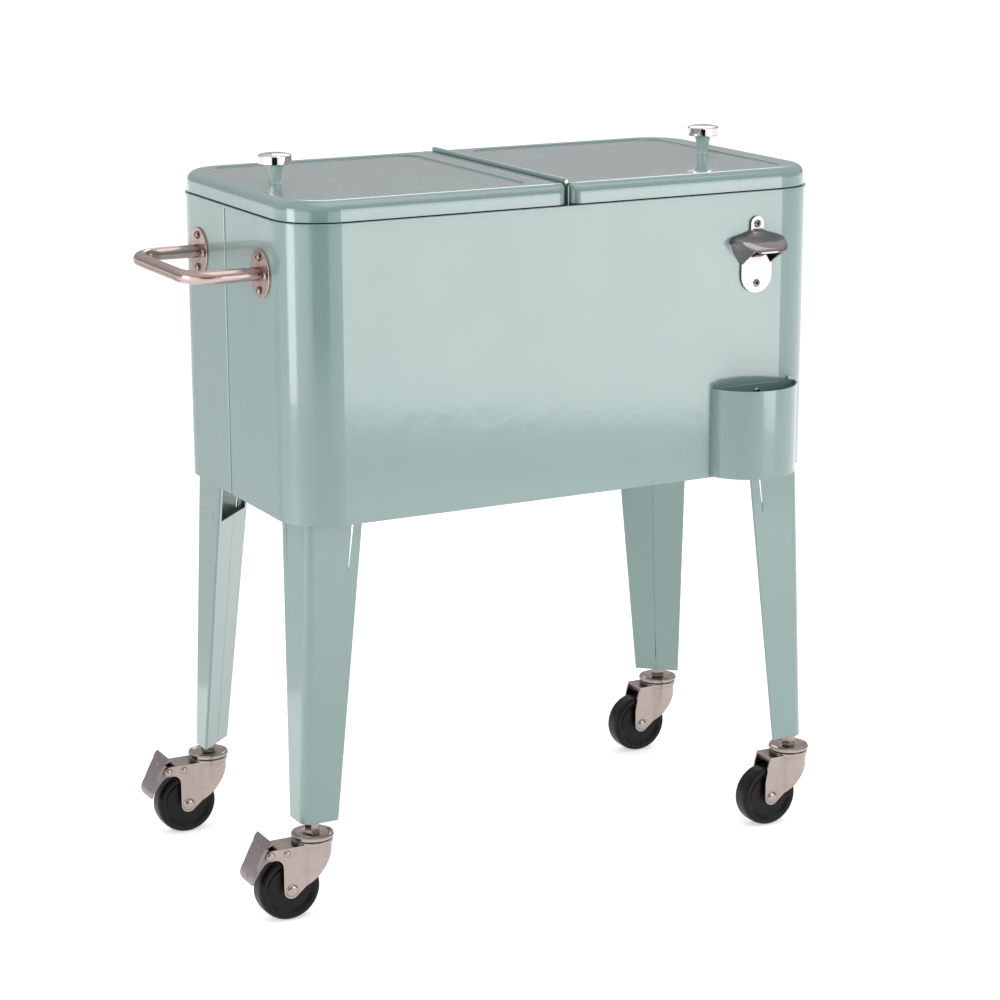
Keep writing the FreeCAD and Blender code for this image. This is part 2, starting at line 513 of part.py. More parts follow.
# -------------------------------------------------------------------- legs
def leg_sec(z, t=0.0):
    """Section of the leg's outer skin at height z, or of its hollow for a skin t thick: a right triangle
    with one well rounded corner outwards and two tight bends, for the +X +Y corner."""
    k = (z - LEG_Z0) / (LEG_Z1 - LEG_Z0)
    dx, dy, r, wx, wy = [b + (a - b) * k for a, b in zip(TOPS, BOTS)]
    X, Y = HL - dx, HW - dy
    L = math.hypot(wx, wy)
    if t:
        X, Y, r = X - t, Y - t, r - t
        wx, wy = wx - t - t * (L + wx) / wy, wy - t - t * (L + wy) / wx
        L = math.hypot(wx, wy)
    rb = LEG_BEND - t
    q = math.sqrt(0.5)
    u = V(-wx / L, wy / L, 0)                      # along the slanted inner side
    n = V(-wy / L, -wx / L, 0)                     # out of it
    A, C = V(X, Y - wy, z), V(X - wx, Y, z)
    ta = rb / math.tan(math.atan2(wx, wy) / 2.0)
    tc = rb / math.tan(math.atan2(wy, wx) / 2.0)
    ca, cc = V(X - rb, Y - wy + ta, z), V(X - wx + tc, Y - rb, z)
    am = (V(1, 0, 0) + n).normalize() * rb + ca
    cm = (V(0, 1, 0) + n).normalize() * rb + cc
    a1, a2 = V(X, Y - wy + ta, z), A + u * ta
    c1, c2 = C - u * tc, V(X - wx + tc, Y, z)
    return Part.Wire([Part.makeLine(a1, V(X, Y - r, z)), Part.Arc(V(X, Y - r, z), V(X - r + r * q, Y - r + r * q, z), V(X - r, Y, z)).toShape(),
                      Part.makeLine(V(X - r, Y, z), c2), Part.Arc(c2, cm, c1).toShape(), Part.makeLine(c1, a2), Part.Arc(a2, am, a1).toShape()])


def leg_mid(z, across, d0, d1):
    """Small rectangle on the middle of the slanted side, from d0 inside it to d1 outside it."""
    k = (z - LEG_Z0) / (LEG_Z1 - LEG_Z0)
    dx, dy, r, wx, wy = [b + (a - b) * k for a, b in zip(TOPS, BOTS)]
    L = math.hypot(wx, wy)
    u, n = V(-wx / L, wy / L, 0), V(-wy / L, -wx / L, 0)
    m = V(HL - dx - wx / 2.0, HW - dy - wy / 2.0, z)
    h = across / 2.0
    c = [m - u * h - n * d0, m + u * h - n * d0, m + u * h + n * d1, m - u * h + n * d1]
    return Part.makePolygon(c + [c[0]])


# distance of the corner from the tub's end and side, corner radius, widths along X and Y
TOPS = (17.0, 16.7, 9.0, 74.5, 76.5)
BOTS = (2.5, 10.7, 13.0, 49.5, 43.5)
LEG_BEND = 2.1
LEG_FOOT = 3.0         # bottom plate that carries the castor
LEG_WIN = 421.0        # lower edge of the opening through which the top bolts are reached


def leg():
    s = Part.makeLoft([leg_sec(LEG_Z0), leg_sec(LEG_Z1)], True, True)
    s = s.cut(Part.makeLoft([leg_sec(LEG_Z0 + LEG_FOOT, LEG_T), leg_sec(LEG_Z1 - 2.5, LEG_T)], True, True))
    # opening at the top of the slanted side
    s = s.cut(Part.makeLoft([leg_mid(LEG_WIN, 77.0, 12.0, 6.0), leg_mid(LEG_Z1 - 2.5, 86.0, 12.0, 6.0)], True, True))
    # where the two edges of the sheet meet: a fine line, and a gap near the foot
    s = s.cut(Part.makeLoft([leg_mid(LEG_Z0 + 1.0, 0.5, 0.5, 2.0), leg_mid(LEG_WIN + 5, 0.5, 0.5, 2.0)], True, True))
    s = s.cut(Part.makeLoft([leg_mid(134.0, 0.9, 3.2, 2.0), leg_mid(161.0, 0.5, 3.2, 2.0)], True, True))
    s = s.cut(cyl(5.05, (CST_X, CST_Y, LEG_Z0 - 5), (0, 0, 1), 20))
    for dx, dy in ((34, 32), (58, 34), (36, 56)):
        s = s.cut(cyl(3.05, (HL - dx, HW - dy, 470), (0, 0, 1), 20))
    return clean(s)


lg = leg()
corner = {"br": lambda s: s, "fr": mirror_y, "bl": mirror_x, "fl": lambda s: mirror_y(mirror_x(s))}
for tag in ("fl", "fr", "bl", "br"):
    save("leg_%s" % tag, corner[tag](lg))

bolts = []
for x, y in leg_bolt_xy:
    b = hexa(5.0, (x, y, LEG_Z1 - 2.5 - 4.2), (0, 0, 1), 4.2).fuse(cyl(3.0, (x, y, LEG_Z1 - 3), (0, 0, 1), 9.0))
    bolts.append(clean(b))
save("leg_bolts", *bolts)


# ----------------------------------------------------------------- castors
def at(s, cx, cy):
    t = s.copy()
    t.translate(V(cx, cy, 0))
    return t


RACE_R = 16.0
RACE_Z = 98.55
BALL_R = 2.0


def race():
    return Part.makeTorus(RACE_R, BALL_R + 0.08, V(0, 0, RACE_Z), V(0, 0, 1))


def stem():
    # swivel cap with a dished top, king pin below, threaded stem above
    d = DISC_R
    p = [(0, 89.2), (8.4, 89.2), (8.4, 91.7), (5.0, 91.95), (5.0, 98.8), (d - 1.4, 98.8), (d, 99.8), (d, 102.6), (d - 1.2, 104.2), (d - 3.4, 104.8),
         (19.0, 103.2), (13.0, 102.8), (9.4, 104.4), (5.0, 104.4), (5.0, 133.3), (4.2, 134.3), (0, 134.3)]
    return revolve_z(p, 0, 0).cut(race())


def fork(brake):
    o = cyl(23.0, (0, 0, 20), (0, 0, 1), 75).fuse(box(-75, -17, 20, 0, 17, 95))
    i = cyl(20.6, (0, 0, 10), (0, 0, 1), 82.5).fuse(box(-90, -14.6, 10, 0, 14.6, 92.5))
    sh = o.cut(i)
    rb = 10.0
    ax, az = -TRAIL, WH_Z
    lead = [(ax + 7.7, az - 6.4), (-14.5, 45.2), (-1.7, 56.6), (9.0, 68.4), (16.0, 77.5), (21.0, 85.5), (23.5, 91.0), (23.5, 95.1)]
    bossp = [(ax + rb * math.cos(math.radians(a)), az + rb * math.sin(math.radians(a))) for a in range(175, 325, 10)]
    if brake:
        head = [(-46.0, 95.1), (-52.5, 94.9), (-59.5, 94.8), (-63.9, 93.9), (-66.5, 91.4), (-67.3, 88.2), (-66.3, 84.9), (-63.8, 82.9), (-60.4, 82.2), (-57.0, 82.6), (-53.6, 82.4),
                (-50.3, 81.2), (-47.4, 78.8), (-45.4, 75.2), (-44.7, 70.5), (-44.7, 60.0)]
    else:
        head = [(-37.0, 95.1), (-41.5, 80.0), (-44.7, 62.0)]
    sh = sh.common(xz_poly(head + bossp + lead, -30, 30))
    # crown and raceway dish over the fork
    cr = revolve_z([(5.0 + RUN, 92.0), (21.5, 92.0), (24.4, 93.0), (24.4, 97.0), (23.2, 98.3), (5.0 + RUN, 98.3)], 0, 0)
    sh = sh.fuse(cr).cut(cyl(5.0 + RUN, (0, 0, 80), (0, 0, 1), 30)).cut(race())
    sh = sh.cut(cyl(4.0, (ax, -30, az), (0, 1, 0), 60))
    if brake:
        sh = sh.cut(cyl(3.2, (PIV_X, -30, PIV_Z), (0, 1, 0), 60)).cut(cyl(2.6, (STP_X, -30, STP_Z), (0, 1, 0), 60))
        # the web between the plates stops short of the pedal
        sh = sh.cut(box(-80, -14.6, 60, -50.5, 14.6, 96))
    return clean(sh)


def wheel():
    h, r = WH_W / 2.0, WH_R
    p = [(4.0 + RUN, -h - 1.2), (9.0, -h - 1.2), (9.0, -h + 2.6), (11.5, -h + 3.2), (27.0, -h + 3.2), (31.5, -h + 0.4), (r - 4.4, -h), (r - 1.9, -h + 1.2), (r - 0.4, -h + 4.2), (r, -h + 8.5),
         (r, h - 8.5), (r - 0.4, h - 4.2), (r - 1.9, h - 1.2), (r - 4.4, h), (31.5, h - 0.4), (27.0, h - 3.2), (11.5, h - 3.2), (9.0, h - 2.6), (9.0, h + 1.2), (4.0 + RUN, h + 1.2)]
    s = revolve_z(p, 0, 0, smooth=((6, 9), (10, 13)))
    s.Placement = FreeCAD.Placement(V(-TRAIL, 0, WH_Z), FreeCAD.Rotation(V(0, 0, 1), V(0, 1, 0)))
    return s


def rivet(x, z, rs, rh, hh, y):
    """Rivet along Y with domed heads outside +-y."""
    p = [(0, -y - hh), (rh * 0.55, -y - hh * 0.86), (rh * 0.86, -y - hh * 0.5), (rh, -y), (rs, -y), (rs, y), (rh, y), (rh * 0.86, y + hh * 0.5), (rh * 0.55, y + hh * 0.86), (0, y + hh)]
    s = revolve_z(p, 0, 0, smooth=((0, 3), (6, 9)))
    s.Placement = FreeCAD.Placement(V(x, 0, z), FreeCAD.Rotation(V(0, 0, 1), V(0, 1, 0)))
    return s


# brake pedal: curved tread seen from the side, (x, z) from the top down
TREAD = [(-61.0, 108.0), (-64.5, 104.4), (-67.8, 100.2), (-72.6, 92.6), (-77.0, 84.0), (-80.8, 75.4), (-84.0, 67.0), (-85.7, 60.4), (-85.2, 56.2), (-82.8, 53.7)]


def tread_solid(t0, t1, y0, y1, k0=0, k1=None):
    """Part of the tread between two side planes, from t0 to t1 behind its
    outer face."""
    pts = TREAD[k0:k1]
    offs = []
    for t in (t0, t1):
        off = []
        for i, (x, z) in enumerate(pts):
            a, b = pts[max(i - 1, 0)], pts[min(i + 1, len(pts) - 1)]
            dx, dz = b[0] - a[0], b[1] - a[1]
            l_ = math.hypot(dx, dz)
            off.append((x - dz / l_ * t, z + dx / l_ * t))
        offs.append(off)
    c1, c2 = Part.BSplineCurve(), Part.BSplineCurve()
    c1.interpolate([V(x, y0, z) for x, z in offs[0]])
    c2.interpolate([V(x, y0, z) for x, z in offs[1][::-1]])
    e = [c1.toShape(), Part.makeLine(c1.EndPoint, c2.StartPoint), c2.toShape(), Part.makeLine(c2.EndPoint, c1.StartPoint)]
    return Part.Face(Part.Wire(e)).extrude(V(0, y1 - y0, 0))


def pedal():
    # front outline: wide top bar, narrower neck, round lobe
    half = [(109.5, 22.0), (103.5, 22.2), (101.6, 20.8), (99.5, 18.6), (92.0, 18.0), (82.0, 18.0), (75.0, 18.6), (69.0, 20.3), (63.0, 20.6), (58.6, 18.0), (55.4, 13.2), (53.2, 6.5), (52.3, 0.0)]
    L = [V(-110, -w, z) for z, w in half] + [V(-110, w, z) for z, w in half[-2::-1]]
    # straight sides at the bar and the neck, a smooth curve round the lobe
    c = Part.BSplineCurve()
    c.interpolate(L[4:-4])
    e = [Part.makeLine(L[k], L[k + 1]) for k in range(4)] + [c.toShape()] + [Part.makeLine(L[k], L[k + 1]) for k in range(len(L) - 5, len(L) - 1)] + [Part.makeLine(L[-1], L[0])]
    front = Part.Face(Part.Wire(e)).extrude(V(80, 0, 0))
    s = tread_solid(0.0, 1.8, -23, 23).common(front)
    # turned-back edges along the neck
    for a, b in ((-17.6, -16.2), (16.2, 17.6)):
        s = s.fuse(tread_solid(0.9, 4.4, a, b, 2, 7))
    # cheeks down to the pivot, between the fork's plates
    ck = [(-68.0, 99.0), (-59.0, 94.3), (-55.9, 91.2), (-55.0, 88.0), (-56.6, 84.4), (-60.6, 82.2), (-67.5, 79.0), (-73.5, 72.0), (-79.3, 62.8), (-83.6, 65.5), (-80.0, 75.2), (-76.2, 83.8), (-71.8, 92.3)]
    for s_ in (-1, 1):
        a, b = sorted((s_ * 12.9, s_ * 14.3))
        s = s.fuse(xz_poly(ck, a, b))
    s = s.cut(cyl(3.2 + RUN, (PIV_X, -30, PIV_Z), (0, 1, 0), 60))
    # two pressed dimples on the tread
    for k in (2.25, 6.6):
        i_ = int(k)
        (x0, z0), (x1, z1) = TREAD[i_], TREAD[i_ + 1]
        u = k - i_
        cx, cz = x0 + (x1 - x0) * u, z0 + (z1 - z0) * u
        l_ = math.hypot(x1 - x0, z1 - z0)
        nx, nz = (z1 - z0) / l_, -(x1 - x0) / l_
        s = s.fuse(Part.makeCone(4.9, 2.4, 2.2, V(cx - nx * 1.2, 0, cz - nz * 1.2), V(nx, 0, nz)))
    return clean(s)


wh = wheel()
ax_ = rivet(-TRAIL, WH_Z, 4.0, 7.6, 3.2, 17.0)
nuts = []
balls = []
for tag, sx, sy, br in (("fl", -1, -1, True), ("fr", 1, -1, False), ("bl", -1, 1, True), ("br", 1, 1, False)):
    cx, cy = sx * CST_X, sy * CST_Y
    save("castor_%s_stem" % tag, at(stem(), cx, cy))
    save("castor_%s_fork" % tag, at(fork(br), cx, cy))
    save("castor_%s_wheel" % tag, at(wh, cx, cy))
    save("castor_%s_axle" % tag, at(ax_, cx, cy))
    if br:
        save("brake_%s_pedal" % tag, at(pedal(), cx, cy))
        save("brake_%s_rivets" % tag, at(rivet(PIV_X, PIV_Z, 3.2, 5.2, 2.4, 17.0), cx, cy), at(rivet(STP_X, STP_Z, 2.6, 4.3, 2.0, 17.0), cx, cy))
    for z0, h_ in ((104.6, LEG_Z0 - 104.6), (LEG_Z0 + 3.0, 5.0)):
        nut = hexa(8.0, (0, 0, z0), (0, 0, 1), h_)
        nut.rotate(V(0, 0, 0), V(0, 0, 1), 30)
        nuts.append(at(nut.cut(cyl(5.0, (0, 0, z0 - 1), (0, 0, 1), h_ + 2)), cx, cy))
    for k in range(16):
        a_ = math.radians(22.5 * k)
        balls.append(Part.makeSphere(BALL_R, V(cx + RACE_R * math.cos(a_), cy + RACE_R * math.sin(a_), RACE_Z)))
save("foot_nuts", *nuts)
save("castor_balls", *balls)

# ------------------------------------------------------------------- drain
xi = HL - WALL
sp = cyl(10.0, (xi - 2.0, 0, DRAIN_Z), (1, 0, 0), WALL + 2.0 + 15.0).fuse(cyl(12.9, (xi - 2.4, 0, DRAIN_Z), (1, 0, 0), 2.3))
sp = sp.cut(cyl(7.0, (xi - 10, 0, DRAIN_Z), (1, 0, 0), 60))
save("drain_spout", clean(sp))
nt = hexa(14.5, (HL + 0.05, 0, DRAIN_Z), (1, 0, 0), 5.0).cut(cyl(10.0, (HL - 1, 0, DRAIN_Z), (1, 0, 0), 10))
save("drain_nut", nt)
cp = cyl(14.0, (HL + 5.6, 0, DRAIN_Z), (1, 0, 0), 14.4)
cp = fil(cp, 1.5, [e for e in cp.Edges if abs(e.BoundBox.XMin - (HL + 20.0)) < 0.02 and abs(e.BoundBox.XMax - (HL + 20.0)) < 0.02])
cp = cp.cut(cyl(10.0 + RUN, (HL + 4, 0, DRAIN_Z), (1, 0, 0), 11.5 + 1.6))
for k in range(12):
    a = math.radians(30 * k)
    cp = cp.cut(cyl(1.2, (HL + 7.5, 14.2 * math.cos(a), DRAIN_Z + 14.2 * math.sin(a)), (1, 0, 0), 20))
save("drain_cap", clean(cp))

b = BOX
print("BOX x %.2f %.2f y %.2f %.2f z %.2f %.2f  mid x %.3f y %.3f" % (b.XMin, b.XMax, b.YMin, b.YMax, b.ZMin, b.ZMax, (b.XMin + b.XMax) / 2, (b.YMin + b.YMax) / 2))
print(len(os.listdir("parts")), "files")
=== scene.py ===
import bpy, bmesh, json, math
from mathutils import Matrix, Vector


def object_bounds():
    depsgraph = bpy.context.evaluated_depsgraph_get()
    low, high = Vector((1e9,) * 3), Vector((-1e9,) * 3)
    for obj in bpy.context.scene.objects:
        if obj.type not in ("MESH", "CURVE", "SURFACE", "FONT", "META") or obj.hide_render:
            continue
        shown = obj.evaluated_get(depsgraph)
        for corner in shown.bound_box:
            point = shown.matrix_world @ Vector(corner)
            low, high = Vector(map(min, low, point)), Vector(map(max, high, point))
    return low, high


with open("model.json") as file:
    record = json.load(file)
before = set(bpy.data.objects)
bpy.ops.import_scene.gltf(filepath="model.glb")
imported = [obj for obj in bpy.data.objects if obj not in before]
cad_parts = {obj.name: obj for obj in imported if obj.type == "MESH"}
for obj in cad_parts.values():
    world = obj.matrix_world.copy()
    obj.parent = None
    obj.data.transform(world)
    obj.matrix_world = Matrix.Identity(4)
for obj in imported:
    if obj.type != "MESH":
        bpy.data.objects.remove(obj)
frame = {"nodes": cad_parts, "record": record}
CAD_LO, CAD_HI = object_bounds()
N = frame["nodes"]
SC = bpy.context.scene


# ---------------------------------------------------------------- node helper
class Mat:
    """A procedural material on the object's own coordinates, in metres."""

    def __init__(self, name, **const):
        self.m = bpy.data.materials.new(name)
        self.m.use_nodes = True
        self.nt = self.m.node_tree
        self.nt.nodes.clear()
        self.out = self.add("ShaderNodeOutputMaterial")
        self.b = self.add("ShaderNodeBsdfPrincipled")
        self.link(self.b.outputs["BSDF"], self.out.inputs["Surface"])
        self.tc = self.add("ShaderNodeTexCoord")
        self.P = self.tc.outputs["Object"]
        for k, v in const.items():
            self.b.inputs[k.replace("_", " ")].default_value = v

    def add(self, kind, **props):
        n = self.nt.nodes.new(kind)
        for k, v in props.items():
            setattr(n, k, v)
        return n

    def link(self, a, b):
        self.nt.links.new(a, b)

    def put(self, sock, v):
        if hasattr(v, "is_output"):
            self.link(v, sock)
        else:
            sock.default_value = v

    def noise(self, scale, detail=3.0, rough=0.55, stretch=None, offset=(0, 0, 0), distort=0.0):
        p = self.P
        if stretch or any(offset):
            mp = self.add("ShaderNodeMapping")
            self.link(p, mp.inputs["Vector"])
            mp.inputs["Scale"].default_value = stretch or (1, 1, 1)
            mp.inputs["Location"].default_value = offset
            p = mp.outputs[0]
        n = self.add("ShaderNodeTexNoise")
        self.link(p, n.inputs["Vector"])
        n.inputs["Scale"].default_value = scale
        n.inputs["Detail"].default_value = detail
        n.inputs["Roughness"].default_value = rough
        n.inputs["Distortion"].default_value = distort
        return n.outputs["Fac"]

    def voronoi(self, scale, feature="F1", rnd=1.0):
        n = self.add("ShaderNodeTexVoronoi", feature=feature)
        self.link(self.P, n.inputs["Vector"])
        n.inputs["Scale"].default_value = scale
        n.inputs["Randomness"].default_value = rnd
        return n

    def ramp(self, fac, a, b, va=0.0, vb=1.0):
        """Straight ramp: va at or under a, vb at or over b."""
        n = self.add("ShaderNodeMapRange")
        n.clamp = True
        self.put(n.inputs["Value"], fac)
        n.inputs["From Min"].default_value = a
        n.inputs["From Max"].default_value = b
        n.inputs["To Min"].default_value = va
        n.inputs["To Max"].default_value = vb
        return n.outputs["Result"]

    def math(self, op, a, b=0.0, clamp=False):
        n = self.add("ShaderNodeMath", operation=op, use_clamp=clamp)
        self.put(n.inputs[0], a)
        self.put(n.inputs[1], b)
        return n.outputs[0]

    def mix(self, fac, a, b):
        n = self.add("ShaderNodeMix", data_type="RGBA")
        self.put(n.inputs["Factor"], fac)
        for s, v in ((n.inputs[6], a), (n.inputs[7], b)):
            self.put(s, v if hasattr(v, "is_output") else (*v, 1.0))
        return n.outputs[2]

    def bump(self, height, distance, strength=1.0, normal=None):
        n = self.add("ShaderNodeBump")
        self.link(height, n.inputs["Height"])
        n.inputs["Distance"].default_value = distance
        n.inputs["Strength"].default_value = strength
        if normal is not None:
            self.link(normal, n.inputs["Normal"])
        return n.outputs["Normal"]

    def axis(self, which):
        s = self.add("ShaderNodeSeparateXYZ")
        self.link(self.P, s.inputs[0])
        return s.outputs["XYZ".index(which)]

    def edges(self, radius, lo=0.02, hi=0.25):
        """0 on flats, 1 along sharp edges, from how far a rounded normal turns."""
        bv = self.add("ShaderNodeBevel")
        bv.samples = 4
        bv.inputs["Radius"].default_value = radius
        g = self.add("ShaderNodeNewGeometry")
        d = self.add("ShaderNodeVectorMath", operation="DOT_PRODUCT")
        self.link(bv.outputs[0], d.inputs[0])
        self.link(g.outputs["Normal"], d.inputs[1])
        return self.ramp(self.math("SUBTRACT", 1.0, d.outputs["Value"]), lo, hi)

    def crevice(self, distance):
        """1 in the open, towards 0 in corners."""
        a = self.add("ShaderNodeAmbientOcclusion")
        a.samples = 4
        a.inputs["Distance"].default_value = distance
        return a.outputs["AO"]


def lin(r, g, b):
    f = lambda c: (c / 255 / 12.92) if c <= 10 else ((c / 255 + 0.055) / 1.055) ** 2.4
    return (f(r), f(g), f(b))


# ------------------------------------------------------------------- finishes
def paint(name, base, rough=0.34, peel=1.0, seam=False, coat_r=0.09, crevice_shade_w=0.14):
    """Baked gloss enamel on sheet steel: orange peel, faint drift of tone, dust nibs, thin edges, painted shade in
    crevices and, with seam, a painted highlight along the lap seam.
    """
    k = Mat(name, Metallic=0.0, IOR=1.58, Coat_Weight=1.0, Coat_Roughness=coat_r, Coat_IOR=1.64)
    big = k.noise(3.2, 3.0, 0.5)
    mid = k.noise(27.0, 4.0, 0.6, offset=(3.1, 1.7, 0.4))
    tone = k.mix(k.ramp(big, 0.3, 0.7), tuple(c * 0.955 for c in base), tuple(min(1, c * 1.035) for c in base))
    tone = k.mix(k.ramp(mid, 0.45, 0.85, 0.0, 0.10), tone, tuple(c * 0.86 for c in base))
    nib = k.voronoi(140.0)
    nibs = k.ramp(nib.outputs["Distance"], 0.035, 0.075, 1.0, 0.0)
    keep = k.ramp(k.noise(19.0, 2.0, 0.5, offset=(9, 2, 5)), 0.60, 0.68)
    nibs = k.math("MULTIPLY", nibs, keep)
    tone = k.mix(k.math("MULTIPLY", nibs, 0.35), tone, tuple(min(1, c * 1.18) for c in base))
    edge = k.edges(0.0016)
    worn = k.math("MULTIPLY", edge, k.ramp(k.noise(85.0, 3.0, 0.6), 0.42, 0.62))
    tone = k.mix(k.math("MULTIPLY", worn, 0.28), tone, tuple(min(1, c * 1.28 + 0.02) for c in base))
    # painted shade: the enamel is darkened in the corners and crevices that ambient occlusion finds
    crevice_shade = k.ramp(k.crevice(0.006), 0.25, 0.90, crevice_shade_w, 0.0)
    tone = k.mix(crevice_shade, tone, tuple(c * 0.42 for c in base))
    fine = k.noise(310.0, 2.0, 0.5)
    wave = k.noise(46.0, 2.0, 0.5, offset=(1, 4, 2))
    smear = k.noise(9.0, 5.0, 0.65, stretch=(1.0, 1.0, 0.35), offset=(5, 5, 5))
    r = k.math("ADD", k.ramp(smear, 0.35, 0.75, rough - 0.05, rough + 0.08), k.math("MULTIPLY", worn, 0.10))
    k.put(k.b.inputs["Roughness"], r)
    if seam:
        y = k.axis("Y")
        x = k.axis("X")
        at_end = k.ramp(x, -0.3145, -0.3165)
        off = k.math("ABSOLUTE", k.math("SUBTRACT", y, SEAM_Y))
        seam_highlight = k.math("MULTIPLY", k.ramp(off, 0.0009, 0.0019, 1.0, 0.0), at_end)
        # painted highlight along the lap seam's edge, brighter towards the top and fading near the bottom edge
        seam_highlight = k.math("MULTIPLY", seam_highlight, k.ramp(k.axis("Z"), 0.50, 0.64, 0.35, 1.0))
        tone = k.mix(k.math("MULTIPLY", seam_highlight, 0.75), tone, tuple(min(1, c * 1.9 + 0.08) for c in base))
        n0 = None
    else:
        n0 = None
    n1 = k.bump(wave, 0.00022 * peel, 0.5, n0)
    n2 = k.bump(fine, 0.00005 * peel, 0.5, n1)
    n3 = k.bump(nibs, 0.00012, 0.5, n2)
    k.put(k.b.inputs["Base Color"], tone)
    k.put(k.b.inputs["Normal"], n3)
    k.put(k.b.inputs["Coat Normal"], n2)
    return k.m


def metal(name, base, dark, r_lo, r_hi, grain=None, grain_depth=0.00002, corner_shade=0.5, spangle=0.0,
          anis=0.0, crev=0.010, pit=0.00002, spots=0.0):
    """Bare or plated metal with handling marks, a grain direction and painted shade that darkens its corners and
    hollows.
    """
    k = Mat(name, Metallic=1.0, Anisotropic=anis)
    big = k.noise(16.0, 4.0, 0.6)
    fine = k.noise(240.0, 3.0, 0.6, offset=(2, 7, 1))
    tone = k.mix(k.ramp(big, 0.3, 0.72), base, tuple(c * 0.90 for c in base))
    if spangle:
        v = k.voronoi(190.0)
        sep = k.add("ShaderNodeSeparateColor")
        k.link(v.outputs["Color"], sep.inputs[0])
        tone = k.mix(k.math("MULTIPLY", sep.outputs[0], spangle), tone, tuple(c * 0.62 for c in base))
    if spots:
        sp = k.ramp(k.noise(60.0, 5.0, 0.7, offset=(4, 4, 8)), 0.55, 0.70, 0.0, spots)
        tone = k.mix(sp, tone, dark)
    # painted shade: the corners and hollows that ambient occlusion finds are darkened towards the dark colour
    ao = k.ramp(k.crevice(crev), 0.20, 0.95, corner_shade, 0.0)
    tone = k.mix(ao, tone, dark)
    e = k.edges(0.0008)
    tone = k.mix(k.math("MULTIPLY", e, 0.35), tone, tuple(min(1, c * 1.15 + 0.03) for c in base))
    marks = k.noise(70.0, 6.0, 0.7, stretch=(1.0, 0.25, 1.0), offset=(1, 1, 3))
    r = k.math("ADD", k.ramp(marks, 0.35, 0.70, r_lo, r_hi), k.math("MULTIPLY", ao, 0.15))
    k.put(k.b.inputs["Roughness"], r)
    n = k.bump(fine, pit, 0.5)
    if grain:
        n = k.bump(k.noise(900.0, 2.0, 0.6, stretch=grain), grain_depth, 0.6, n)
    k.put(k.b.inputs["Base Color"], tone)
    k.put(k.b.inputs["Normal"], n)
    return k.m


def plastic(name, base, r_lo, r_hi, spec=0.5, grain=420.0, depth=0.00004, scuff=0.25, light=1.5, sheen=0.0):
    """Moulded plastic or rubber with a fine skin texture, pale scuffs and painted shade in its crevices."""
    k = Mat(name, Metallic=0.0, IOR=1.49, Sheen_Weight=sheen)
    k.b.inputs["Specular IOR Level"].default_value = spec
    tone = k.mix(k.ramp(k.noise(20.0, 4.0, 0.6), 0.3, 0.7), base, tuple(c * 0.82 for c in base))
    mark = k.ramp(k.noise(110.0, 6.0, 0.75, stretch=(1, 0.4, 1), offset=(3, 8, 2)), 0.56, 0.68)
    tone = k.mix(k.math("MULTIPLY", mark, scuff), tone, tuple(min(1, c * light + 0.03) for c in base))
    tone = k.mix(k.math("MULTIPLY", k.edges(0.0008), 0.30), tone, tuple(min(1, c * light + 0.02) for c in base))
    # painted shade: the corners and crevices that ambient occlusion finds are darkened
    tone = k.mix(k.ramp(k.crevice(0.008), 0.2, 0.95, 0.45, 0.0), tone, tuple(c * 0.35 for c in base))
    k.put(k.b.inputs["Roughness"], k.ramp(k.noise(55.0, 4.0, 0.6, offset=(6, 1, 1)), 0.3, 0.7, r_lo, r_hi))
    n = k.bump(k.noise(grain, 2.0, 0.5), depth, 0.6)
    k.put(k.b.inputs["Base Color"], tone)
    k.put(k.b.inputs["Normal"], n)
    return k.m


FLOOR_GLOW = 0.50
SKY_LOW, SKY_HIGH = 0.43, 0.86
MINT = (0.174, 0.278, 0.257)
SEAM_Y = 0.0374

M = {
    "tub": paint("mint_enamel_tub", MINT, seam=True),
    "mint": paint("mint_enamel", MINT),
    "lid": paint("mint_enamel_lid", MINT, rough=0.26, peel=0.12, coat_r=0.04),
    "zinc": metal("zinc_plate", (0.42, 0.355, 0.325), (0.05, 0.042, 0.040), 0.10, 0.22, corner_shade=0.8, spangle=0.10, spots=0.10),
    "pedal": metal("pedal_steel", (0.27, 0.23, 0.235), (0.04, 0.035, 0.035), 0.16, 0.30, corner_shade=0.7, spots=0.15),
    "chrome": metal("chrome_plate", (0.82, 0.77, 0.77), (0.06, 0.05, 0.05), 0.025, 0.07, corner_shade=0.5, pit=0.000005),
    "opener": metal("opener_nickel", (0.33, 0.287, 0.302), (0.035, 0.026, 0.030), 0.06, 0.13, corner_shade=0.85, crev=0.010, pit=0.000006),
    "opener_screw": metal("opener_screws", (0.36, 0.32, 0.33), (0.012, 0.010, 0.011), 0.08, 0.18, corner_shade=1.0, crev=0.005),
    # the knob stems are the tub's mint enamel, painted much lighter to stand in for the bright reflections on them
    "stem": paint("knob_enamel_lit", (0.56, 0.70, 0.67), rough=0.14, peel=0.1, coat_r=0.02, crevice_shade_w=0.0),
    "bronze": metal("satin_bronze", (0.55, 0.41, 0.385), (0.060, 0.036, 0.032), 0.15, 0.26, corner_shade=0.75, spots=0.10,
                    pit=0.000008),
    "bronze_screw": metal("bronze_screws", (0.40, 0.30, 0.28), (0.02, 0.012, 0.011), 0.10, 0.20, corner_shade=1.0, crev=0.005),
    "liner": plastic("liner_plastic", lin(196, 202, 199), 0.36, 0.50, grain=260.0),
    "foam": plastic("foam", lin(226, 214, 178), 0.85, 0.95, spec=0.2, grain=520.0, depth=0.0004, scuff=0.1),
    "seal": plastic("seal_rubber", lin(70, 76, 74), 0.55, 0.70, grain=480.0),
    "pan": metal("pan_galvanised", (0.62, 0.63, 0.62), (0.12, 0.12, 0.12), 0.34, 0.50, corner_shade=0.5, spangle=0.30),
    "wheel": plastic("wheel_black", (0.0055, 0.0045, 0.0045), 0.30, 0.44, spec=0.22, grain=600.0, light=1.6, scuff=0.25),
    "drain": plastic("drain_plastic", lin(206, 209, 207), 0.34, 0.46),
}

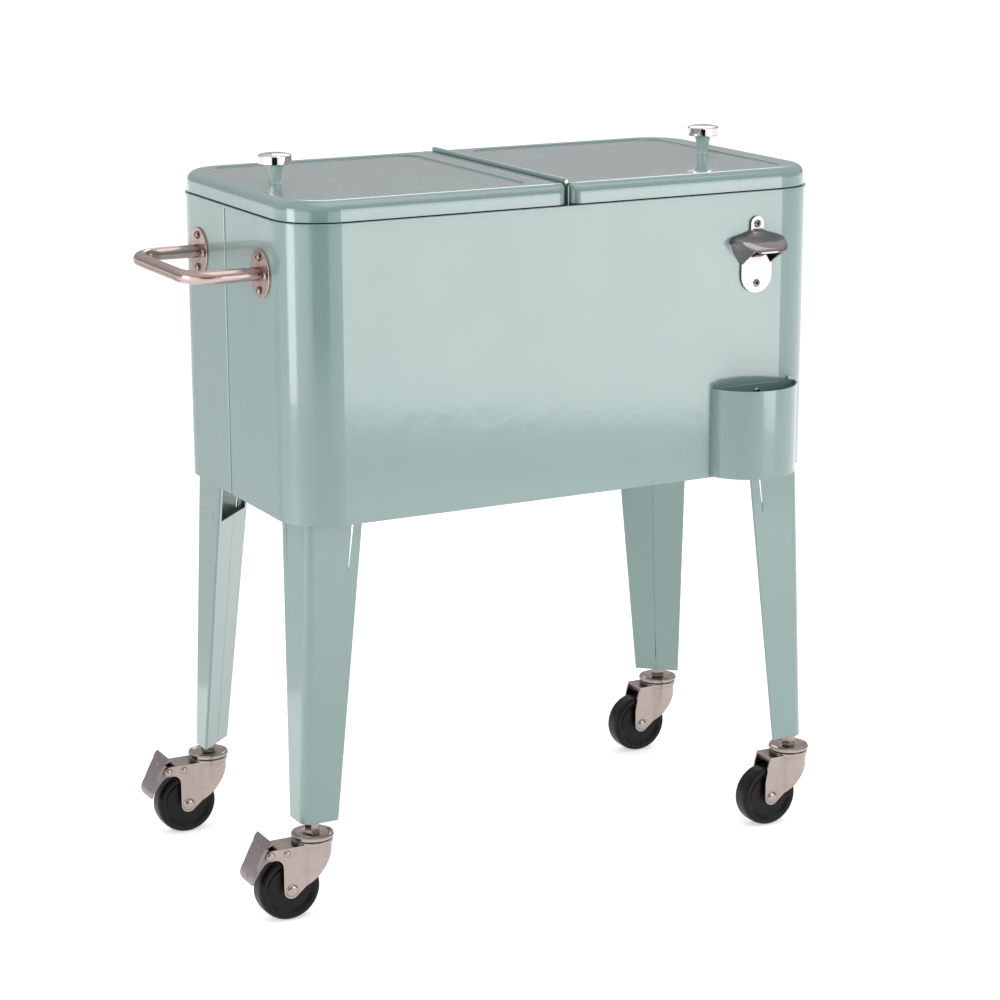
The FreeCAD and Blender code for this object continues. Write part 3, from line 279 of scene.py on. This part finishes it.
SLOTS = {"mint_paint": "mint", "lid_paint": "lid", "zinc": "zinc", "chrome": "chrome", "nickel": "opener",
         "knob_stem": "stem", "bronze": "bronze", "bronze_screw": "bronze_screw", "liner": "liner", "foam": "foam",
         "seal": "seal", "pan": "pan", "wheel": "wheel", "drain": "drain"}
slot_of = {s["node"]: s["material_slot"] for s in frame["record"]["subparts"]}
for name, ob in N.items():
    key = SLOTS[slot_of[name]]
    if name == "tub_skin":
        key = "tub"
    if name in ("opener_screws", "bin_screws"):
        key = "opener_screw"
    if name.startswith("brake_") and name.endswith("_pedal"):
        key = "pedal"
    for i in range(max(1, len(ob.data.materials))):
        if len(ob.data.materials) <= i:
            ob.data.materials.append(M[key])
        else:
            ob.data.materials[i] = M[key]

# ------------------------------------------------------------------- studio
fl = Mat("floor_paper", Metallic=0.0)
fl.b.inputs["Specular IOR Level"].default_value = 0.0
fl.put(fl.b.inputs["Base Color"], fl.mix(fl.ramp(fl.noise(0.8, 3.0, 0.5), 0.3, 0.7), (0.86, 0.86, 0.86), (0.89, 0.89, 0.89)))
fl.put(fl.b.inputs["Roughness"], fl.ramp(fl.noise(6.0, 3.0, 0.5), 0.3, 0.7, 0.85, 0.95))
fl.put(fl.b.inputs["Normal"], fl.bump(fl.noise(300.0, 2.0, 0.5), 0.00005, 0.3))
# a back-lit white sweep: the floor gives some of its own light
fl.b.inputs["Emission Color"].default_value = (1.0, 1.0, 1.0, 1.0)
fl.b.inputs["Emission Strength"].default_value = FLOOR_GLOW
bm = bmesh.new()
bmesh.ops.create_grid(bm, x_segments=8, y_segments=8, size=40.0)
me = bpy.data.meshes.new("floor")
bm.to_mesh(me)
bm.free()
floor = bpy.data.objects.new("floor", me)
floor.location = (0, 0, CAD_LO.z - 0.0003)
me.materials.append(fl.m)
SC.collection.objects.link(floor)

w = bpy.data.worlds.new("studio")
SC.world = w
w.use_nodes = True
wt = w.node_tree
bg = wt.nodes["Background"]
bg.inputs["Color"].default_value = (0.985, 0.99, 1.0, 1.0)
tcw = wt.nodes.new("ShaderNodeTexCoord")
sp = wt.nodes.new("ShaderNodeSeparateXYZ")
mr = wt.nodes.new("ShaderNodeMapRange")
mr.interpolation_type = "SMOOTHSTEP"
wt.links.new(tcw.outputs["Generated"], sp.inputs[0])
wt.links.new(sp.outputs["Z"], mr.inputs["Value"])
mr.inputs["From Min"].default_value = 0.10
mr.inputs["From Max"].default_value = 0.80
mr.inputs["To Min"].default_value = SKY_LOW
mr.inputs["To Max"].default_value = SKY_HIGH
wt.links.new(mr.outputs["Result"], bg.inputs["Strength"])


def area(name, pos, aim, size, size_y, level, colour=(1, 1, 1)):
    """Softbox of the given radiance; it lights the piece but isn't itself in the picture."""
    l = bpy.data.lights.new(name, "AREA")
    l.energy = math.pi * size * size_y * level
    l.color = colour
    l.shape = "RECTANGLE"
    l.size = size
    l.size_y = size_y
    o = bpy.data.objects.new(name, l)
    o.location = pos
    o.rotation_mode = "QUATERNION"
    o.rotation_quaternion = (Vector(aim) - Vector(pos)).to_track_quat("-Z", "Y")
    o.visible_camera = False
    SC.collection.objects.link(o)
    return o


area("front_box", (1.03, -1.96, 0.68), (0.06, -0.16, 0.68), 1.08, 1.12, 2.65)
area("left_box", (-2.15, -0.62, 0.80), (-0.26, -0.10, 0.80), 1.7, 1.20, 0.55)
area("corner_box", (-2.45, 0.00, 0.82), (-0.30, -0.10, 0.70), 0.80, 1.35, 3.3)
area("top_box", (0.3, -0.6, 3.2), (0.0, 0.0, 0.8), 2.4, 2.4, 0.9)
area("back_box", (1.6, 2.6, 2.6), (0.0, 0.0, 0.8), 1.6, 1.2, 1.6)

# a dark backdrop stands behind the camera, out of the picture: bright metal mirrors it
fg = Mat("dark_backdrop", Metallic=0.0)
fg.b.inputs["Specular IOR Level"].default_value = 0.05
fg.put(fg.b.inputs["Base Color"], fg.mix(fg.noise(3.0), (0.010, 0.009, 0.009), (0.016, 0.015, 0.015)))
fg.put(fg.b.inputs["Roughness"], fg.ramp(fg.noise(8.0), 0.3, 0.7, 0.85, 0.95))
bm = bmesh.new()
bmesh.ops.create_grid(bm, x_segments=1, y_segments=1, size=0.5)
me = bpy.data.meshes.new("dark_backdrop")
bm.to_mesh(me)
bm.free()
backdrop = bpy.data.objects.new("dark_backdrop", me)
backdrop.location = (-0.4642 * 3.56, -0.8857 * 3.56, 0.56)
backdrop.rotation_euler = (math.radians(90), 0.0, math.radians(-27.66))
backdrop.scale = (2.3, 1.1, 1.0)
me.materials.append(fg.m)
SC.collection.objects.link(backdrop)
backdrop.visible_camera = False
backdrop.visible_shadow = False

# a white card, duller than the glowing floor, stands behind the left end: the painted end and the legs mirror it
gc = Mat("white_card", Metallic=0.0)
gc.b.inputs["Specular IOR Level"].default_value = 0.05
gc.put(gc.b.inputs["Base Color"], gc.mix(gc.noise(3.0), (0.70, 0.70, 0.70), (0.74, 0.74, 0.74)))
gc.put(gc.b.inputs["Roughness"], gc.ramp(gc.noise(8.0), 0.3, 0.7, 0.85, 0.95))
bm = bmesh.new()
bmesh.ops.create_grid(bm, x_segments=1, y_segments=1, size=0.5)
me = bpy.data.meshes.new("white_card")
bm.to_mesh(me)
bm.free()
card = bpy.data.objects.new("white_card", me)
card.location = (-0.70, 0.72, 0.33)
card.rotation_euler = (math.radians(90), 0.0, math.radians(27.0))
card.scale = (0.80, 0.66, 1.0)
me.materials.append(gc.m)
SC.collection.objects.link(card)
card.visible_camera = False
card.visible_shadow = False
card.visible_diffuse = False

# ------------------------------------------------------------------- camera
az, roll = math.radians(-27.657), math.radians(-0.152)
fwd = Vector((0.45008, 0.85885, -0.24453)).normalized()
right = Vector((math.cos(az), math.sin(az), 0.0))
up = right.cross(fwd)
c, s = math.cos(roll), math.sin(roll)
r2 = (c * right + s * up).normalized()
u2 = (-s * right + c * up).normalized()
cam = bpy.data.cameras.new("camera")
cam.lens = 100.448
cam.sensor_width = 36.0
cam.clip_start, cam.clip_end = 0.05, 200.0
co = bpy.data.objects.new("camera", cam)
mat = Matrix((r2, u2, -fwd)).transposed().to_4x4()
mat.translation = Vector((-1.54965, -3.012625, 1.2945))
co.matrix_world = mat
SC.collection.objects.link(co)
SC.camera = co

SC.view_settings.view_transform = "Standard"
SC.view_settings.look = "None"
SC.view_settings.exposure = 0.0
